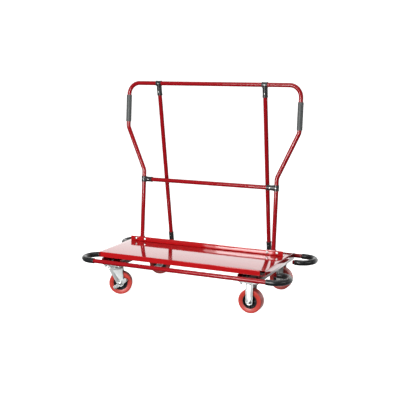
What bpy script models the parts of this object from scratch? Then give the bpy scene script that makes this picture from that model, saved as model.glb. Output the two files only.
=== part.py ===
"""Platform cart for carrying drywall and other sheet material upright.

A folded steel deck stands on two cross channels. The channels join a front
and a rear bumper tube, whose ends are bent back on themselves into padded
corner loops. A tall bent hoop rises behind the deck's low rail, tied by a
cross bar and propped by two straight struts from the rear bumper tube.
The left pair of casters swivels and has foot locks, the right pair is rigid.

Metres, +Z up, +X along the deck, +Y from the loading side to the back.
The origin is on the floor, under the middle of the cart.
"""
import math

import bmesh
import bpy
from mathutils import Matrix, Vector

GAP = 0.0003                 # clearance between touching pieces

# Casters
WHEEL_R = 0.0675
TREAD_WIDTH = 0.050
HUB_R = 0.042
CASTER_X = 0.430             # plate centres
CASTER_Y = 0.250
CASTER_TOP = 0.180           # mounting height
TRAIL = 0.030                # swivel axis to axle
SWIVEL_TURN = math.radians(25)
PLATE_X = 0.112
PLATE_Y = 0.096
PLATE_T = 0.005
LEG_IN = 0.0285              # inner face of a fork leg
LEG_T = 0.0045
AXLE_R = 0.006
LOCK_TILT = math.radians(35)

# Base frame
TUBE_R = 0.0127
BUMPER_Y = 0.312
BUMPER_Z = 0.199
LOOP_X = 0.562               # centre of a corner loop's half turn
LOOP_R = 0.079
LOOP_END_X = 0.532           # cut end of the turned-back branch
FOAM_START_X = 0.538
FOAM_END_X = 0.544
FOAM_R = 0.0165
FOAM_WALL = 0.0027
CHANNEL_WIDTH = 0.126
CHANNEL_T = 0.003

# Deck
DECK_LENGTH = 1.046
DECK_FRONT = -0.282
DECK_DEPTH = 0.400
DECK_TOP = 0.250
APRON = 0.030
SHEET = 0.002
LIP = 0.033                  # inward lip of each end apron
APRON_LEFT_STOP = 0.010      # front apron stops short of the left corner
RAIL_LENGTH = 1.004
RAIL_FRONT = 0.062
RAIL_SIZE = 0.030
RAIL_T = 0.003

# Hoop, in a plane that leans back
LEAN = math.radians(5)
POST_X = 0.435
UPPER_X = 0.557
HOOP_Y = 0.0855              # post axis at the post's foot
KNEE_Z = 0.692
ELBOW_Z = 0.957
HOOP_TOP_Z = 1.224
KNEE_R = 0.060
CORNER_R = 0.070
CROSS_BAR_Z = 0.636
STRUT_TOP_X = {"left": 0.352, "right": 0.337}
STRUT_FOOT_X = {"left": 0.342, "right": 0.327}
GRIP_R = 0.0165
GRIP_WALL = 0.0027
GRIPS = {"left": (0.987, 1.150), "right": (0.971, 1.129)}

# Clamps
COLLAR_LENGTH = 0.034
COLLAR_R = 0.0165
CROSS_SLEEVE = 0.058         # from the post's axis
STRUT_SLEEVE = 0.073         # from the axis of the tube that is gripped

# Rail bolts
BOLT_R = 0.004
BOLT_Z = 0.2665
BOLT_SPREAD = 0.030          # each side of the post
FOOT_PLATE_T = 0.005
FOOT_WIDTH = 0.084
FOOT_HEIGHT = 0.024
SOCKET_R = 0.0185

DECK_BOTTOM = DECK_TOP - APRON
RAIL_FLOOR = DECK_TOP + RAIL_T
POST_FOOT_Z = RAIL_FLOOR + GAP + TUBE_R * math.sin(LEAN)
HOOP_UP = Vector((0, math.sin(LEAN), math.cos(LEAN)))

for old in list(bpy.data.objects):
    bpy.data.objects.remove(old)


def new_collection(name):
    made = bpy.data.collections.new(name)
    bpy.context.scene.collection.children.link(made)
    return made


PARTS = new_collection("drywall_cart")
CUTTERS = new_collection("cutters")


def paint(name, colour, metallic, roughness):
    made = bpy.data.materials.new(name)
    made.use_nodes = True
    shader = made.node_tree.nodes["Principled BSDF"]
    shader.inputs["Base Color"].default_value = (*colour, 1)
    shader.inputs["Metallic"].default_value = metallic
    shader.inputs["Roughness"].default_value = roughness
    return made


RED = paint("red_powder_coat", (0.55, 0.008, 0.012), 0.0, 0.15)
ZINC = paint("zinc_plate", (0.72, 0.74, 0.76), 1.0, 0.30)
FOAM = paint("black_foam", (0.020, 0.022, 0.022), 0.0, 0.60)
BLACK = paint("black_moulding", (0.018, 0.018, 0.020), 0.0, 0.40)
TREAD = paint("polyurethane", (0.60, 0.055, 0.035), 0.0, 0.35)


def add(name, mesh, material, parent=None, place=(0, 0, 0), turn=(0, 0, 0)):
    """Put a finished shape among the parts."""
    made = bpy.data.objects.new(name, mesh)
    made.location = place
    made.rotation_euler = turn
    made.parent = parent
    mesh.materials.append(material)
    PARTS.objects.link(made)
    return made


def helper(mesh, parent=None, place=(0, 0, 0), turn=(0, 0, 0)):
    """A shape that is only joined to a part or cut from it."""
    made = bpy.data.objects.new("tool", mesh)
    made.location = place
    made.rotation_euler = turn
    made.parent = parent
    made.hide_render = True
    made.display_type = "WIRE"
    CUTTERS.objects.link(made)
    return made


def empty(name, place, parent=None, turn=(0, 0, 0)):
    made = bpy.data.objects.new(name, None)
    made.location = place
    made.rotation_euler = turn
    made.parent = parent
    PARTS.objects.link(made)
    return made


def boolean(part, tool, operation):
    step = part.modifiers.new(operation.lower(), "BOOLEAN")
    step.operation = operation
    step.object = tool


def join(part, mesh, **where):
    boolean(part, helper(mesh, **where), "UNION")


def cut(part, mesh, **where):
    boolean(part, helper(mesh, **where), "DIFFERENCE")


def mesh_from(shape):
    mesh = bpy.data.meshes.new("shape")
    shape.to_mesh(mesh)
    shape.free()
    return mesh


def block(low, high):
    """A box between two corners."""
    low = Vector(low)
    high = Vector(high)
    shape = bmesh.new()
    matrix = Matrix.Translation((low + high) / 2) @ Matrix.Diagonal((*(high - low), 1))
    bmesh.ops.create_cube(shape, size=1, matrix=matrix)
    return mesh_from(shape)


def rod(start, end, radius, sides=16):
    """A round bar between two points."""
    start = Vector(start)
    along = Vector(end) - start
    turn = along.to_track_quat("Z", "Y").to_matrix().to_4x4()
    shape = bmesh.new()
    bmesh.ops.create_cone(
        shape,
        cap_ends=True,
        segments=sides,
        radius1=radius,
        radius2=radius,
        depth=along.length,
        matrix=Matrix.Translation(start + along / 2) @ turn,
    )
    return mesh_from(shape)


def hole_radius(clear, sides=16):
    """Corner radius of a polygon hole whose flats clear the given radius."""
    return (clear + GAP) / math.cos(math.pi / sides)


def turned(name, profile, material, steps=24, closed=False, **where):
    """Turn a profile of (radius, height) points about Z, from top to bottom."""
    mesh = bpy.data.meshes.new(name)
    edges = [(i, i + 1) for i in range(len(profile) - 1)]
    if closed:
        edges.append((len(profile) - 1, 0))
    mesh.from_pydata([(r, 0, z) for r, z in profile], edges, [])
    made = add(name, mesh, material, **where)
    screw = made.modifiers.new("turn", "SCREW")
    screw.steps = steps
    screw.render_steps = steps
    screw.use_merge_vertices = True
    screw.merge_threshold = 0.00001
    screw.use_smooth_shade = True
    return made


def smooth(part):
    part.data.shade_smooth()
    part.data.set_sharp_from_angle(angle=math.radians(35))


def poly_curve(name, points, cyclic=False, flat=False):
    curve = bpy.data.curves.new(name, "CURVE")
    curve.dimensions = "2D" if flat else "3D"
    spline = curve.splines.new("POLY")
    spline.points.add(len(points) - 1)
    for slot, point in zip(spline.points, points):
        slot.co = (*point, 1) if len(point) == 3 else (*point, 0, 1)
    spline.use_cyclic_u = cyclic
    return curve


def tube(name, points, radius, material):
    """A round tube along a path, closed at both ends."""
    curve = poly_curve(name, points)
    curve.bevel_depth = radius
    curve.bevel_resolution = 3
    curve.use_fill_caps = True
    return add(name, curve, material)


def sleeve(name, points, radius, wall, material):
    """An open-ended sleeve along a path."""
    curve = poly_curve(name, points)
    curve.bevel_depth = radius
    curve.bevel_resolution = 3
    made = add(name, curve, material)
    shell = made.modifiers.new("wall", "SOLIDIFY")
    shell.thickness = wall
    shell.offset = -1
    return made


def flat_plate(outline, thickness):
    """An upright plate with an XZ outline, centred on Y = 0."""
    curve = poly_curve("outline", outline, cyclic=True, flat=True)
    curve.fill_mode = "BOTH"
    curve.extrude = thickness / 2
    drawn = bpy.data.objects.new("outline", curve)
    CUTTERS.objects.link(drawn)
    bpy.context.view_layer.update()
    evaluated = drawn.evaluated_get(bpy.context.evaluated_depsgraph_get())
    mesh = bpy.data.meshes.new_from_object(evaluated)
    bpy.data.objects.remove(drawn)
    shape = bmesh.new()
    shape.from_mesh(mesh)
    bmesh.ops.remove_doubles(shape, verts=shape.verts, dist=0.00001)
    bmesh.ops.rotate(shape, verts=shape.verts, matrix=Matrix.Rotation(math.pi / 2, 3, "X"))
    shape.to_mesh(mesh)
    shape.free()
    return mesh


def arc(centre, radius, start, end, steps):
    """Points on an arc in a plane, angles in degrees."""
    points = []
    for i in range(steps + 1):
        angle = math.radians(start + (end - start) * i / steps)
        points.append((centre[0] + radius * math.cos(angle), centre[1] + radius * math.sin(angle)))
    return points


def rounded_path(corners, radii, steps=5):
    """A path through corner points, each corner turned on its own radius."""
    path = [Vector(corners[0])]
    for before, corner, after, radius in zip(corners, corners[1:], corners[2:], radii):
        corner = Vector(corner)
        back = (Vector(before) - corner).normalized()
        ahead = (Vector(after) - corner).normalized()
        half = back.angle(ahead) / 2
        centre = corner + (back + ahead).normalized() * radius / math.sin(half)
        first = corner + back * radius / math.tan(half) - centre
        last = corner + ahead * radius / math.tan(half) - centre
        sweep = first.angle(last)
        for i in range(steps + 1):
            part = i / steps
            near = first * math.sin(sweep * (1 - part)) + last * math.sin(sweep * part)
            path.append(centre + near / math.sin(sweep))
    path.append(Vector(corners[-1]))
    return path


def on_hoop(x, z):
    """The point of the hoop's plane at a given height."""
    along = (z - POST_FOOT_Z) / math.cos(LEAN)
    return Vector((x, HOOP_Y, POST_FOOT_Z)) + HOOP_UP * along


# Deck

def make_deck():
    """A sheet folded down on four sides, with lips turned in at both ends."""
    end = DECK_LENGTH / 2
    back = DECK_FRONT + DECK_DEPTH
    deck = add("deck_pan", block((-end, DECK_FRONT, DECK_TOP - SHEET), (end, back, DECK_TOP)), RED)
    for side in (-1, 1):
        edge = sorted((side * end, side * (end - SHEET)))
        lip = sorted((side * end, side * (end - LIP)))
        join(deck, block((edge[0], DECK_FRONT, DECK_BOTTOM), (edge[1], back, DECK_TOP)))
        join(deck, block((lip[0], DECK_FRONT, DECK_BOTTOM), (lip[1], back, DECK_BOTTOM + SHEET)))
    apron_low = (-end + APRON_LEFT_STOP, DECK_FRONT, DECK_BOTTOM)
    apron_high = (end - LIP, DECK_FRONT + SHEET, DECK_TOP)
    join(deck, block(apron_low, apron_high))
    join(deck, block((-end + LIP, back - SHEET, DECK_BOTTOM), (end - LIP, back, DECK_TOP)))
    # the strip from the rail to the back edge lies lower by the rail's clearance
    seat = (-end - LIP, RAIL_FRONT - GAP, DECK_TOP - GAP)
    cut(deck, block(seat, (end + LIP, back + LIP, DECK_TOP + LIP)))


def make_rail():
    """An angle on the deck that the posts are bolted to."""
    end = RAIL_LENGTH / 2
    low = DECK_TOP
    upright = block((-end, RAIL_FRONT, low), (end, RAIL_FRONT + RAIL_T, DECK_TOP + RAIL_SIZE))
    rail = add("deck_rail", upright, RED)
    join(rail, block((-end, RAIL_FRONT, low), (end, RAIL_FRONT + RAIL_SIZE, low + RAIL_T)))
    for x in bolt_places():
        start = (x, RAIL_FRONT - 0.01, BOLT_Z)
        cut(rail, rod(start, (x, RAIL_FRONT + 0.01, BOLT_Z), hole_radius(BOLT_R)))


def bolt_places():
    return [side * (POST_X + step * BOLT_SPREAD) for side in (-1, 1) for step in (-1, 1)]


def make_post_foot(name, x):
    """A plate bolted behind the rail, with a socket round the post's foot."""
    front = RAIL_FRONT + RAIL_T + GAP
    low = RAIL_FLOOR + GAP
    high = low + FOOT_HEIGHT
    half = FOOT_WIDTH / 2
    foot = add(name, block((x - half, front, low), (x + half, front + FOOT_PLATE_T, high)), RED)
    socket = Vector((x, HOOP_Y + 0.001, low))
    join(foot, rod(socket, socket + Vector((0, 0, FOOT_HEIGHT)), SOCKET_R, 20))
    bore = on_hoop(x, low)
    cut(foot, rod(bore - HOOP_UP * 0.02, bore + HOOP_UP * 0.05, hole_radius(TUBE_R)))
    for side in (-1, 1):
        hole = Vector((x + side * BOLT_SPREAD, front, BOLT_Z))
        ahead = Vector((0, 0.01, 0))
        cut(foot, rod(hole - ahead, hole + ahead, hole_radius(BOLT_R)))


def make_rail_bolt(name, x):
    """Domed head in front, nut behind, turned about its own length."""
    grip = RAIL_T + 2 * GAP + FOOT_PLATE_T
    profile = [
        (0.0, grip + GAP + 0.006),
        (0.0068, grip + GAP + 0.006),
        (0.0068, grip + GAP),
        (BOLT_R, grip + GAP),
        (BOLT_R, -GAP),
        (0.0085, -GAP),
        (0.0078, -0.0028),
        (0.0045, -0.0048),
        (0.0, -0.0054),
    ]
    place = (x, RAIL_FRONT, BOLT_Z)
    turned(name, profile, RED, steps=12, place=place, turn=(-math.pi / 2, 0, 0))


# Base frame

def make_channel(name, x):
    """A wide channel with its web down, from bumper tube to bumper tube."""
    half = CHANNEL_WIDTH / 2
    end = BUMPER_Y - TUBE_R - GAP
    low = CASTER_TOP + GAP
    high = DECK_BOTTOM - GAP
    outer = add(name, block((x - half, -end, low), (x + half, end, high)), RED)
    inner_low = (x - half + CHANNEL_T, -end - 0.01, low + CHANNEL_T)
    inner_high = (x + half - CHANNEL_T, end + 0.01, high + 0.01)
    cut(outer, block(inner_low, inner_high))


def loop_points(side, facing, start_x, end_x, steps=10):
    """The bumper tube's path round one corner loop, from outside to inside."""
    y = facing * BUMPER_Y
    inner_y = facing * (BUMPER_Y - 2 * LOOP_R)
    half_turn = arc((LOOP_X, 0), LOOP_R, 90, -90, steps)
    points = [(side * start_x, y, BUMPER_Z)]
    points += [(side * px, facing * (BUMPER_Y - LOOP_R + py), BUMPER_Z) for px, py in half_turn]
    points.append((side * end_x, inner_y, BUMPER_Z))
    return points


def make_bumper(name, facing):
    left = loop_points(-1, facing, LOOP_X - 0.1, LOOP_END_X)
    right = loop_points(1, facing, LOOP_X - 0.1, LOOP_END_X)
    tube(name, left[::-1] + right, TUBE_R, RED)


# Hoop and struts

def make_hoop():
    outline = [
        (POST_X, POST_FOOT_Z),
        (POST_X, KNEE_Z),
        (UPPER_X, ELBOW_Z),
        (UPPER_X, HOOP_TOP_Z),
    ]
    corners = [on_hoop(-x, z) for x, z in outline] + [on_hoop(x, z) for x, z in outline[::-1]]
    radii = [KNEE_R, KNEE_R, CORNER_R, CORNER_R, KNEE_R, KNEE_R]
    tube("hoop_frame", rounded_path(corners, radii), TUBE_R, RED)


def make_grip(name, side, low, high):
    x = side * UPPER_X
    sleeve(name, [on_hoop(x, low), on_hoop(x, high)], GRIP_R, GRIP_WALL, FOAM)


def make_tee(name, centre, collar_way, sleeve_way, length):
    """A collar round one tube with a sleeve that holds the end of another."""
    centre = Vector(centre)
    half = collar_way.normalized() * COLLAR_LENGTH / 2
    out = sleeve_way.normalized()
    body = add(name, rod(centre - half, centre + half, COLLAR_R), BLACK)
    join(body, rod(centre + out * 0.004, centre + out * length, COLLAR_R - 0.0006))
    cut(body, rod(centre - half * 2, centre + half * 2, hole_radius(TUBE_R)))
    cut(body, rod(centre + out * 0.002, centre + out * (length + 0.01), hole_radius(TUBE_R)))


def make_tie(name, start, end):
    """A straight tube whose ends stop just short of the tubes it ties."""
    start = Vector(start)
    end = Vector(end)
    stop = (end - start).normalized() * (TUBE_R + 0.003)
    tube(name, [start + stop, end - stop], TUBE_R, RED)


def make_upper_frame():
    make_hoop()
    across = Vector((1, 0, 0))
    bar_left = on_hoop(-POST_X, CROSS_BAR_Z)
    bar_right = on_hoop(POST_X, CROSS_BAR_Z)
    make_tie("cross_bar", bar_left, bar_right)
    make_tee("cross_bar_clamp_left", bar_left, HOOP_UP, across, CROSS_SLEEVE)
    make_tee("cross_bar_clamp_right", bar_right, HOOP_UP, -across, CROSS_SLEEVE)
    for word, side in (("left", -1), ("right", 1)):
        top = on_hoop(side * STRUT_TOP_X[word], HOOP_TOP_Z)
        foot = Vector((side * STRUT_FOOT_X[word], BUMPER_Y, BUMPER_Z))
        make_tie("strut_" + word, top, foot)
        make_tee("strut_top_clamp_" + word, top, across, foot - top, STRUT_SLEEVE)
        make_tee("strut_foot_clamp_" + word, foot, across, top - foot, STRUT_SLEEVE)
        make_grip("hand_grip_" + word, side, *GRIPS[word])
        make_post_foot("post_foot_" + word, side * POST_X)


# Casters, each about an empty on the floor under its plate

def leg_outline(top_left, top_right, axle_x, foot_r, top_z):
    """A leg's outline: straight sides that run down to a round end."""
    foot = arc((axle_x, WHEEL_R), foot_r, 0, -180, 10)
    return [(top_right, top_z)] + foot + [(top_left, top_z)]


def make_legs(part, parent, outline, axle_x):
    """Two legs are joined to a crown, and the axle hole goes through both."""
    for side in (-1, 1):
        place = (0, side * (LEG_IN + LEG_T / 2), 0)
        join(part, flat_plate(outline, LEG_T), parent=parent, place=place)
    reach = LEG_IN + 2 * LEG_T
    hole = rod((axle_x, -reach, WHEEL_R), (axle_x, reach, WHEEL_R), hole_radius(AXLE_R, 12), 12)
    cut(part, hole, parent=parent)


def make_wheel(word, axle):
    """Tread, core and bush, turned about the axle."""
    flat = (math.pi / 2, 0, 0)
    half = TREAD_WIDTH / 2
    tread = [
        (HUB_R + GAP, half - 0.002),
        (WHEEL_R - 0.003, half),
        (WHEEL_R - 0.0008, half - 0.001),
        (WHEEL_R, half - 0.004),
        (WHEEL_R, -half + 0.004),
        (WHEEL_R - 0.0008, -half + 0.001),
        (WHEEL_R - 0.003, -half),
        (HUB_R + GAP, -half + 0.002),
    ]
    turned("tread_" + word, tread, TREAD, steps=24, closed=True, parent=axle, turn=flat)
    core = [
        (0.0105, 0.026),
        (0.0160, 0.026),
        (0.0180, 0.010),
        (0.0365, 0.008),
        (0.0380, half - 0.003),
        (HUB_R, half - 0.003),
        (HUB_R, -half + 0.003),
        (0.0380, -half + 0.003),
        (0.0365, -0.008),
        (0.0180, -0.010),
        (0.0160, -0.026),
        (0.0105, -0.026),
    ]
    turned("hub_" + word, core, BLACK, steps=24, closed=True, parent=axle, turn=flat)
    bush = [(0.0067, 0.0275), (0.0100, 0.0275), (0.0100, -0.0275), (0.0067, -0.0275)]
    turned("axle_bush_" + word, bush, ZINC, steps=16, closed=True, parent=axle, turn=flat)


def make_axle_bolt(word, axle, front_face):
    """Head in front of the fork, or of the lock lever, and nut behind it."""
    back = LEG_IN + LEG_T + GAP
    profile = [
        (0.0, back + 0.008),
        (0.0095, back + 0.008),
        (0.0095, back),
        (AXLE_R, back),
        (AXLE_R, -front_face - GAP),
        (0.0100, -front_face - GAP),
        (0.0092, -front_face - 0.006),
        (0.0, -front_face - 0.006),
    ]
    turn = (-math.pi / 2, 0, 0)
    turned("axle_bolt_" + word, profile, ZINC, steps=12, parent=axle, turn=turn)


def make_rigid_caster(word, y):
    caster = empty("caster_" + word, (CASTER_X, y, 0))
    low = CASTER_TOP - PLATE_T
    plate = block((-PLATE_X / 2, -PLATE_Y / 2, low), (PLATE_X / 2, PLATE_Y / 2, CASTER_TOP))
    fork = add("rigid_fork_" + word, plate, ZINC, parent=caster)
    make_legs(fork, caster, leg_outline(-0.0215, 0.0215, 0, 0.0205, low + 0.002), 0)
    axle = empty("axle_" + word, (0, 0, WHEEL_R), caster)
    make_axle_bolt(word, axle, LEG_IN + LEG_T)
    make_wheel(word, axle)


def make_swivel_caster(word, y):
    caster = empty("caster_" + word, (-CASTER_X, y, 0))
    low = CASTER_TOP - PLATE_T
    plate = block((-PLATE_X / 2, -PLATE_Y / 2, low), (PLATE_X / 2, PLATE_Y / 2, CASTER_TOP))
    top = add("swivel_plate_" + word, plate, ZINC, parent=caster)
    join(top, rod((0, 0, 0.167), (0, 0, low + 0.002), 0.044, 28), parent=caster)
    cut(top, rod((0, 0, 0.15), (0, 0, 0.19), hole_radius(AXLE_R)), parent=caster)

    pin = [
        (0.0, CASTER_TOP - 0.0005),
        (AXLE_R, CASTER_TOP - 0.0005),
        (AXLE_R, 0.1572),
        (0.0105, 0.1572),
        (0.0105, 0.149),
        (0.0, 0.149),
    ]
    turned("king_pin_" + word, pin, ZINC, steps=12, parent=caster)

    # everything below the plate turns together about the king pin
    swivel = empty("swivel_" + word, (0, 0, 0), caster, turn=(0, 0, SWIVEL_TURN))
    race = [(0.035, 0.1667), (0.041, 0.1667), (0.041, 0.1628), (0.035, 0.1628)]
    turned("swivel_race_" + word, race, ZINC, steps=28, closed=True, parent=swivel)

    reach = LEG_IN + LEG_T
    crown = block((-0.043, -reach, 0.1575), (0.043, reach, 0.1625))
    fork = add("swivel_fork_" + word, crown, ZINC, parent=swivel)
    make_legs(fork, swivel, leg_outline(-0.043, 0.043, TRAIL, 0.0205, 0.160), TRAIL)
    cut(fork, rod((0, 0, 0.15), (0, 0, 0.17), hole_radius(AXLE_R)), parent=swivel)

    axle = empty("axle_" + word, (TRAIL, 0, WHEEL_R), swivel)
    lever_t = 0.004
    make_axle_bolt(word, axle, reach + GAP + lever_t)
    make_wheel(word, axle)
    make_lock(word, axle, -reach - GAP - lever_t / 2, lever_t)


def make_lock(word, axle, y, thickness):
    """A rocker on the axle with a foot pad turned out at each end."""
    half = 0.050
    width = 0.011
    reach = 0.036
    bar = arc((reach, 0), width, -60, 60, 6) + arc((-reach, 0), width, 120, 240, 6)
    turn = (0, -LOCK_TILT, 0)
    lever = add("wheel_lock_" + word, flat_plate(bar, thickness), ZINC,
                parent=axle, place=(0, y, 0), turn=turn)
    for side in (-1, 1):
        ends = sorted((side * (half - 0.010), side * (half - 0.006)))
        pad = block((ends[0], -0.016, -width + 0.001), (ends[1], thickness / 2 - 0.0005, width - 0.001))
        join(lever, pad, parent=axle, place=(0, y, 0), turn=turn)
    hole = rod((0, -0.02, 0), (0, 0.02, 0), hole_radius(AXLE_R, 12), 12)
    cut(lever, hole, parent=axle, place=(0, y, 0), turn=turn)


make_deck()
make_rail()
for index, bolt_x in enumerate(bolt_places()):
    make_rail_bolt(("rail_bolt_left_inner", "rail_bolt_left_outer",
                    "rail_bolt_right_inner", "rail_bolt_right_outer")[index], bolt_x)
make_channel("cross_channel_left", -CASTER_X)
make_channel("cross_channel_right", CASTER_X)
for end_word, facing in (("front", -1), ("rear", 1)):
    make_bumper("bumper_tube_" + end_word, facing)
    for side_word, side in (("left", -1), ("right", 1)):
        path = loop_points(side, facing, FOAM_START_X, FOAM_END_X)
        sleeve("bumper_foam_" + end_word + "_" + side_word, path, FOAM_R, FOAM_WALL, FOAM)
    make_swivel_caster(end_word + "_left", facing * CASTER_Y)
    make_rigid_caster(end_word + "_right", facing * CASTER_Y)
make_upper_frame()

for part in PARTS.objects:
    if part.type == "MESH" and "turn" not in part.modifiers:
        smooth(part)
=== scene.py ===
"""The finished look of a panel cart: folded steel deck, bent tube hoop and struts, foam
corner loops and four zinc casters. Every piece is modelled over its CAD node."""
import math

import bmesh
import bpy
from mathutils import Matrix, Vector


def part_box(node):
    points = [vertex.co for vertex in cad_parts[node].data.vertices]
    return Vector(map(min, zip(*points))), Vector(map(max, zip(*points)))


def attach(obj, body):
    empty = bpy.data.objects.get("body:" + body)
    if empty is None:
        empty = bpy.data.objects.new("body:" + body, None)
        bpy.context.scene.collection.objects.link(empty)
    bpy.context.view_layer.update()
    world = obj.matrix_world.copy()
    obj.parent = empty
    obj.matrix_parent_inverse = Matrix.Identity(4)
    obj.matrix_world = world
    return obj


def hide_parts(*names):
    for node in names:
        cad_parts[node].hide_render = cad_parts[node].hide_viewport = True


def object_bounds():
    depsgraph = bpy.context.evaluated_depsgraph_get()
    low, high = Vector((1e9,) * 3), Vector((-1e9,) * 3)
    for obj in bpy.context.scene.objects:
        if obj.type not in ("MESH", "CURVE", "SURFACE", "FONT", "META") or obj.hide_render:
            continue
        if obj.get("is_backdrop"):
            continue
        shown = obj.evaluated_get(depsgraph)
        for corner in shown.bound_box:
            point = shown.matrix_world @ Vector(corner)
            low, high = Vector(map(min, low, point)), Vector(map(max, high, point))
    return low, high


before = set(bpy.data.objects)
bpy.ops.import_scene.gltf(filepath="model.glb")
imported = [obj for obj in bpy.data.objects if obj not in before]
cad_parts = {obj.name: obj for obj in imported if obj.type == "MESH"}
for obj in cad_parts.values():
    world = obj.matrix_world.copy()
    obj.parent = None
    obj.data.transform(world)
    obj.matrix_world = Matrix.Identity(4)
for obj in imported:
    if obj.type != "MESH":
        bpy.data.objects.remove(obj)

cad_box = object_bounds()

# Metres. The round studio, then the cart's tubes and sheets
STUDIO_R = 80
WALL_HEIGHT = 300
TUBE_R = 0.0127
TUBE_WALL = 0.0016
FOAM_R = 0.0165
FOAM_WALL = 0.0032
SHEET = 0.002
LIP = 0.033
APRON_LEFT_STOP = 0.010
ANGLE_T = 0.003
CHANNEL_T = 0.003

# Base tubes and their corner loops
BUMPER_Y = 0.312
BUMPER_Z = 0.199
LOOP_X = 0.562
LOOP_R = 0.079
LOOP_END_X = 0.532
FOAM_START_X = 0.538
FOAM_END_X = 0.544

# The hoop lies in a plane that leans back
LEAN = math.radians(5)
POST_X = 0.435
UPPER_X = 0.557
HOOP_Y = 0.0855
POST_FOOT_Z = 0.25441
KNEE_Z = 0.692
ELBOW_Z = 0.957
HOOP_TOP_Z = 1.224
KNEE_R = 0.060
CORNER_R = 0.070
CROSS_BAR_Z = 0.636
STRUT_TOP_X = {"left": 0.352, "right": 0.337}
STRUT_FOOT_X = {"left": 0.342, "right": 0.327}
GRIPS = {"left": (0.987, 1.150), "right": (0.971, 1.129)}
HOOP_UP = Vector((0, math.sin(LEAN), math.cos(LEAN)))

# Tee clamps and rail bolts
COLLAR_LENGTH = 0.034
COLLAR_R = 0.0165
CROSS_SLEEVE = 0.058
STRUT_SLEEVE = 0.073
RAIL_FRONT = 0.062
BOLT_Z = 0.2665
BOLT_SPREAD = 0.030
SOCKET_R = 0.0183

# Casters
WHEEL_R = 0.0675
TREAD_HALF = 0.025
HUB_R = 0.042
CASTER_X = 0.430
CASTER_Y = 0.250
CASTER_TOP = 0.180
PLATE_T = 0.005
PLATE_HALF_X = 0.056
PLATE_HALF_Y = 0.048
PLATE_BOLT_X = 0.044
PLATE_BOLT_Y = 0.037
TRAIL = 0.030
SWIVEL_TURN = math.radians(25)
SWIVEL_CROWN_Z = 0.1625
LEG_IN = 0.0285
LEG_T = 0.0045
LEG_OUT = LEG_IN + LEG_T
LEG_FOOT_R = 0.0205
RIGID_LEG_HALF = 0.0215
SWIVEL_LEG_HALF = 0.043
AXLE_BORE_R = 0.0062
LOCK_T = 0.004
LOCK_TILT = math.radians(35)


# Camera, floor and lights

bpy.ops.object.camera_add(
    location=(1.9421, -4.1540, 1.3693),
    rotation=(math.radians(79.91), 0, math.radians(25.01)),
)
camera = bpy.context.active_object
camera.data.lens = 71.25
camera.data.sensor_width = 36
bpy.context.scene.camera = camera
bpy.context.scene.view_settings.view_transform = "Standard"


def linear(code):
    """An sRGB hex colour as the linear colour that a shader takes."""
    parts = [int(code[i:i + 2], 16) / 255 for i in (1, 3, 5)]
    return (*[p / 12.92 if p <= 0.04045 else ((p + 0.055) / 1.055) ** 2.4 for p in parts], 1)


def add_node(tree, kind, inputs=None, **settings):
    """One node with its settings. An input given as (node, output) is linked."""
    made = tree.nodes.new(kind)
    for name, value in settings.items():
        setattr(made, name, value)
    for name, value in (inputs or {}).items():
        if isinstance(value, tuple) and isinstance(value[0], bpy.types.Node):
            tree.links.new(value[0].outputs[value[1]], made.inputs[name])
        else:
            made.inputs[name].default_value = value
    return made


def new_material(name):
    """An empty material, with the piece's own coordinates in metres."""
    made = bpy.data.materials.new(name)
    made.use_nodes = True
    made.node_tree.nodes.clear()
    return made, made.node_tree, add_node(made.node_tree, "ShaderNodeTexCoord")


def noise(tree, place, scale, detail):
    """Cloudy noise, with its scale in clouds to the metre."""
    return add_node(tree, "ShaderNodeTexNoise", {
        "Vector": (place, "Object"), "Scale": scale, "Detail": detail,
    })


def mixed_colour(tree, driver, dark, light):
    """A colour that drifts between dark and light with its driver."""
    return add_node(tree, "ShaderNodeMix", {
        0: (driver, 0), 6: linear(dark), 7: linear(light),
    }, data_type="RGBA")


def ramp(tree, source, low, high, to_low, to_high):
    """A value that runs from one end to the other as its source goes from low to high."""
    return add_node(tree, "ShaderNodeMapRange", {
        "Value": source, "From Min": low, "From Max": high, "To Min": to_low, "To Max": to_high,
    })


def relief(tree, driver, strength, distance, **more):
    """Small bumps that follow their driver's value."""
    return add_node(tree, "ShaderNodeBump", {
        "Height": (driver, 0), "Strength": strength, "Distance": distance, **more,
    })


def surface_of(tree, inputs):
    """The shader that ends a material, with its inputs."""
    surface = add_node(tree, "ShaderNodeBsdfPrincipled", inputs)
    add_node(tree, "ShaderNodeOutputMaterial", {"Surface": (surface, 0)})


def softbox(name, place, aim, width, height, power):
    """A rectangular white studio light that looks at a point."""
    way = Vector(aim) - Vector(place)
    bpy.ops.object.light_add(
        type="AREA", location=place, rotation=way.to_track_quat("-Z", "Y").to_euler(),
    )
    light = bpy.context.active_object
    light.name = name
    light.data.shape = "RECTANGLE"
    light.data.size = width
    light.data.size_y = height
    light.data.energy = power
    light.visible_camera = False


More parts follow.
